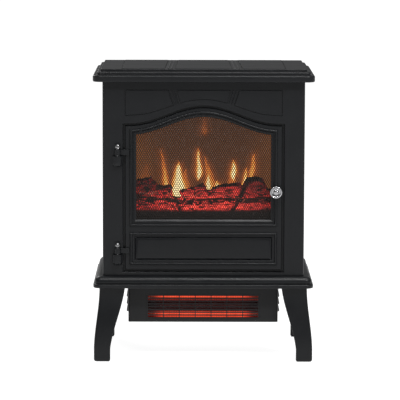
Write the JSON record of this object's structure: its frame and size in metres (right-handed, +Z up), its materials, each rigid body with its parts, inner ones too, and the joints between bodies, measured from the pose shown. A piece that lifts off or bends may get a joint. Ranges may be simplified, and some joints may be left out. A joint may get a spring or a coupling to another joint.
{
  "type": "electric stove heater",
  "caption": "Free-standing electric fireplace: stove body on splayed legs, arched mesh door over a log and flame effect, and a quartz heater box with a slatted outlet below.",
  "frame": {"origin": "on the floor, under the middle of the top and base plates", "axes": "+Z up, -Y out of the front with the door, +X to the right as seen from the front"},
  "size_m": [0.43, 0.275, 0.573],
  "materials": {
    "satin_black": "satin black moulding with a fine grain",
    "painted_steel": "black powder coat on sheet steel",
    "bright_chrome": "polished chrome",
    "bright_steel": "bright sheet and pin steel",
    "mesh_black": "black expanded metal screen",
    "smoked_glass": "clear pane with a warm smoke tint",
    "flame_diffuser": "translucent flame screen, lit from behind",
    "ember_resin": "charred logs and embers in resin, lit from below",
    "quartz_glow": "quartz tube with a glowing coil",
    "ceramic": "matte off-white ceramic",
    "dark_plastic": "black nylon and polycarbonate",
    "circuit_board": "green solder mask"
  },
  "bodies": {
    "cabinet": {"top_plate": "satin_black", "base_plate": "satin_black", "front_left_leg": "satin_black", "front_right_leg": "satin_black", "rear_left_leg": "satin_black", "rear_right_leg": "satin_black", "front_panel": "satin_black", "left_side_panel": "painted_steel", "right_side_panel": "painted_steel", "rear_panel": "painted_steel", "door_magnet": "dark_plastic", "upper_hinge_bracket": "satin_black", "upper_hinge_pin": "bright_steel", "lower_hinge_bracket": "satin_black", "lower_hinge_pin": "bright_steel", "window_glass": "smoked_glass", "firebox_floor": "painted_steel", "firebox_roof": "painted_steel", "firebox_left_wall": "painted_steel", "firebox_right_wall": "painted_steel", "lamp_box_back": "bright_steel", "flame_screen": "flame_diffuser", "ember_led_board": "circuit_board", "ember_bed": "ember_resin", "log_set": "ember_resin", "rotor_bearing": "dark_plastic", "flame_motor": "bright_steel", "flame_led_board": "circuit_board", "heater_housing": "painted_steel", "heater_grille": "painted_steel", "reflector": "bright_steel", "quartz_tube_upper": "quartz_glow", "quartz_tube_lower": "quartz_glow", "left_tube_holder": "ceramic", "right_tube_holder": "ceramic", "thermal_cutoff": "dark_plastic", "blower_bearing": "dark_plastic", "blower_motor": "bright_steel", "blower_duct": "bright_steel", "control_panel": "dark_plastic", "power_switch_body": "dark_plastic", "heat_switch_body": "dark_plastic", "thermostat_body": "dark_plastic", "control_board": "circuit_board", "cord_gland": "dark_plastic"},
    "door": {"door_frame": "satin_black", "door_mesh": "mesh_black", "door_lower_panel": "satin_black", "striker_plate": "bright_steel", "door_knob": "bright_chrome", "knob_screw": "bright_steel", "upper_hinge_strap": "satin_black", "lower_hinge_strap": "satin_black"},
    "flame_spindle": {"flame_rotor": "bright_steel"},
    "blower": {"blower_wheel": "dark_plastic"},
    "power_button": {"power_rocker": "dark_plastic"},
    "heat_button": {"heat_rocker": "dark_plastic"},
    "thermostat": {"thermostat_knob": "dark_plastic"}
  },
  "joints": [
    {"name": "door_hinge", "type": "hinge", "parent": "cabinet", "child": "door", "pos_m": [-0.167, -0.125, 0.3], "axis": [0, 0, -1], "range_deg": [0, 105]},
    {"name": "flame_rotor_spin", "type": "hinge", "parent": "cabinet", "child": "flame_spindle", "pos_m": [0, 0.045, 0.3], "axis": [1, 0, 0], "continuous": true},
    {"name": "blower_spin", "type": "hinge", "parent": "cabinet", "child": "blower", "pos_m": [0, 0.042, 0.11], "axis": [1, 0, 0], "continuous": true},
    {"name": "power_switch", "type": "hinge", "parent": "cabinet", "child": "power_button", "pos_m": [0.096, 0.1183, 0.503], "axis": [1, 0, 0], "range_deg": [0, 14]},
    {"name": "heat_switch", "type": "hinge", "parent": "cabinet", "child": "heat_button", "pos_m": [0.122, 0.1183, 0.503], "axis": [1, 0, 0], "range_deg": [0, 14]},
    {"name": "thermostat_turn", "type": "hinge", "parent": "cabinet", "child": "thermostat", "pos_m": [0.154, 0.1208, 0.503], "axis": [0, -1, 0], "range_deg": [0, 270]}
  ]
}
